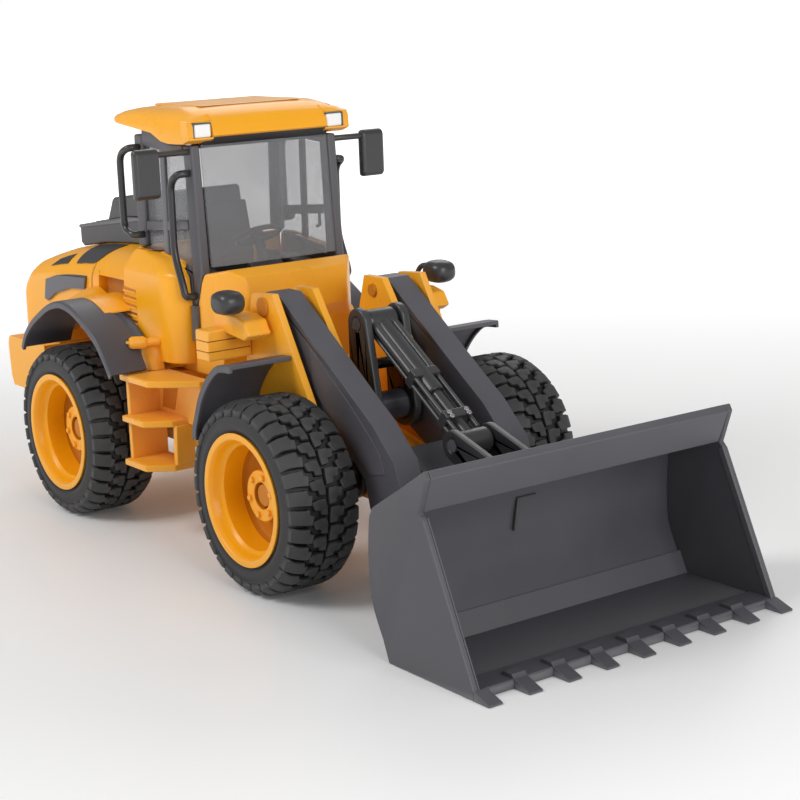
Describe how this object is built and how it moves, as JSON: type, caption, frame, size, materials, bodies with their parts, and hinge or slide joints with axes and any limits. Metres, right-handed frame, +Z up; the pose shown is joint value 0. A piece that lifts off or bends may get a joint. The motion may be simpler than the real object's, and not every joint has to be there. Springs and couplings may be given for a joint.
{
  "type": "toy front loader",
  "caption": "Articulated toy front loader with rolling wheels, a lifting boom, a tilting toothed bucket, a cab with handrails and mirrors, and a rear engine hood.",
  "frame": {"origin": "on the ground, under the middle of the whole toy", "axes": "+X forward to the bucket, +Y to the machine's left, +Z up"},
  "size_m": [0.395, 0.142, 0.181],
  "materials": {
    "yellow_plastic": "satin warm yellow moulded plastic",
    "dark_grey_plastic": "fine-grained dark grey moulded plastic",
    "black_plastic": "satin black moulded plastic",
    "steel": "plain turned steel pins and shafts",
    "lamp_white": "glossy white lamp moulding",
    "clear_plastic": "clear moulded glazing",
    "tyre_rubber": "matt soft rubber"
  },
  "bodies": {
    "rear_chassis": {"rear_frame": "yellow_plastic", "counterweight": "yellow_plastic", "engine_hood": "yellow_plastic", "hood_grilles": "dark_grey_plastic", "air_intake": "dark_grey_plastic", "rear_fender_right": "dark_grey_plastic", "rear_fender_left": "dark_grey_plastic", "ladder_right": "yellow_plastic", "ladder_left": "yellow_plastic", "side_tank_right": "yellow_plastic", "side_tank_left": "yellow_plastic", "cab_base": "yellow_plastic", "cab_pillars": "dark_grey_plastic", "cab_roof": "yellow_plastic", "roof_lights": "lamp_white", "windscreen": "clear_plastic", "cab_glass": "clear_plastic", "seat": "dark_grey_plastic", "steering_column": "black_plastic", "steering_wheel": "black_plastic", "handrails": "black_plastic", "mirrors": "black_plastic", "rear_axle_housing": "black_plastic", "rear_axle_shaft": "steel", "steering_pin": "steel"},
    "front_chassis": {"front_frame": "yellow_plastic", "boom_tower_right": "yellow_plastic", "boom_tower_left": "yellow_plastic", "front_fender_right": "dark_grey_plastic", "front_fender_left": "dark_grey_plastic", "headlight_brackets": "yellow_plastic", "headlights": "black_plastic", "front_axle_housing": "black_plastic", "front_axle_shaft": "steel", "boom_pivot_pins": "yellow_plastic", "lift_base_pins": "steel"},
    "boom": {"boom_arm_right": "dark_grey_plastic", "boom_arm_left": "dark_grey_plastic", "boom_cross_tube": "dark_grey_plastic", "lift_end_pins": "steel"},
    "crank": {"bell_crank": "dark_grey_plastic", "crank_pin": "steel"},
    "link": {"tilt_link": "black_plastic"},
    "bucket": {"bucket_shell": "dark_grey_plastic", "bucket_sides": "dark_grey_plastic", "bucket_teeth": "dark_grey_plastic", "bucket_brackets": "dark_grey_plastic", "bucket_pins": "steel"},
    "cylinder_right": {"lift_barrel_right": "black_plastic"},
    "cylinder_left": {"lift_barrel_left": "black_plastic"},
    "piston_right": {"lift_rod_right": "steel"},
    "piston_left": {"lift_rod_left": "steel"},
    "wheel_front_right": {"rim_front_right": "yellow_plastic", "tyre_front_right": "tyre_rubber"},
    "wheel_front_left": {"rim_front_left": "yellow_plastic", "tyre_front_left": "tyre_rubber"},
    "wheel_rear_right": {"rim_rear_right": "yellow_plastic", "tyre_rear_right": "tyre_rubber"},
    "wheel_rear_left": {"rim_rear_left": "yellow_plastic", "tyre_rear_left": "tyre_rubber"}
  },
  "joints": [
    {"name": "steering", "type": "hinge", "parent": "rear_chassis", "child": "front_chassis", "pos_m": [-0.0311, 0, 0.047], "axis": [0, 0, 1], "range_deg": [-15, 15]},
    {"name": "boom_lift", "type": "hinge", "parent": "front_chassis", "child": "boom", "pos_m": [0.0195, 0, 0.1055], "axis": [0, -1, 0], "range_deg": [0, 45]},
    {"name": "bucket_tilt", "type": "hinge", "parent": "boom", "child": "bucket", "pos_m": [0.1055, 0, 0.025], "axis": [0, -1, 0], "range_deg": [-90, 25]},
    {"name": "crank_swing", "type": "hinge", "parent": "boom", "child": "crank", "pos_m": [0.0475, 0, 0.064], "axis": [0, -1, 0], "range_deg": [-90, 25]},
    {"name": "link_swing", "type": "hinge", "parent": "crank", "child": "link", "pos_m": [0.0445, 0, 0.098], "axis": [0, -1, 0], "range_deg": [-25, 90]},
    {"name": "cylinder_swing_right", "type": "hinge", "parent": "front_chassis", "child": "cylinder_right", "pos_m": [-0.0026, -0.0265, 0.064], "axis": [0, -1, 0], "range_deg": [0, 21.17]},
    {"name": "piston_slide_right", "type": "slide", "parent": "cylinder_right", "child": "piston_right", "axis": [0.9976, 0, 0.0687], "range_m": [0, 0.0281]},
    {"name": "cylinder_swing_left", "type": "hinge", "parent": "front_chassis", "child": "cylinder_left", "pos_m": [-0.0026, 0.0265, 0.064], "axis": [0, -1, 0], "range_deg": [0, 21.17]},
    {"name": "piston_slide_left", "type": "slide", "parent": "cylinder_left", "child": "piston_left", "axis": [0.9976, 0, 0.0687], "range_m": [0, 0.0281]},
    {"name": "wheel_spin_front_right", "type": "hinge", "parent": "front_chassis", "child": "wheel_front_right", "pos_m": [0.0465, -0.054, 0.038], "axis": [0, 1, 0], "continuous": true},
    {"name": "wheel_spin_front_left", "type": "hinge", "parent": "front_chassis", "child": "wheel_front_left", "pos_m": [0.0465, 0.054, 0.038], "axis": [0, 1, 0], "continuous": true},
    {"name": "wheel_spin_rear_right", "type": "hinge", "parent": "rear_chassis", "child": "wheel_rear_right", "pos_m": [-0.1087, -0.054, 0.038], "axis": [0, 1, 0], "continuous": true},
    {"name": "wheel_spin_rear_left", "type": "hinge", "parent": "rear_chassis", "child": "wheel_rear_left", "pos_m": [-0.1087, 0.054, 0.038], "axis": [0, 1, 0], "continuous": true}
  ],
  "couplings": [
    {"joint": "crank_swing", "follows": "bucket_tilt", "ratio": 1},
    {"joint": "link_swing", "follows": "bucket_tilt", "ratio": -1},
    {"joint": "cylinder_swing_right", "follows": "boom_lift", "ratio": 0.466},
    {"joint": "piston_slide_right", "follows": "boom_lift", "m_per_rad": 0.03551},
    {"joint": "cylinder_swing_left", "follows": "boom_lift", "ratio": 0.466},
    {"joint": "piston_slide_left", "follows": "boom_lift", "m_per_rad": 0.03551}
  ]
}
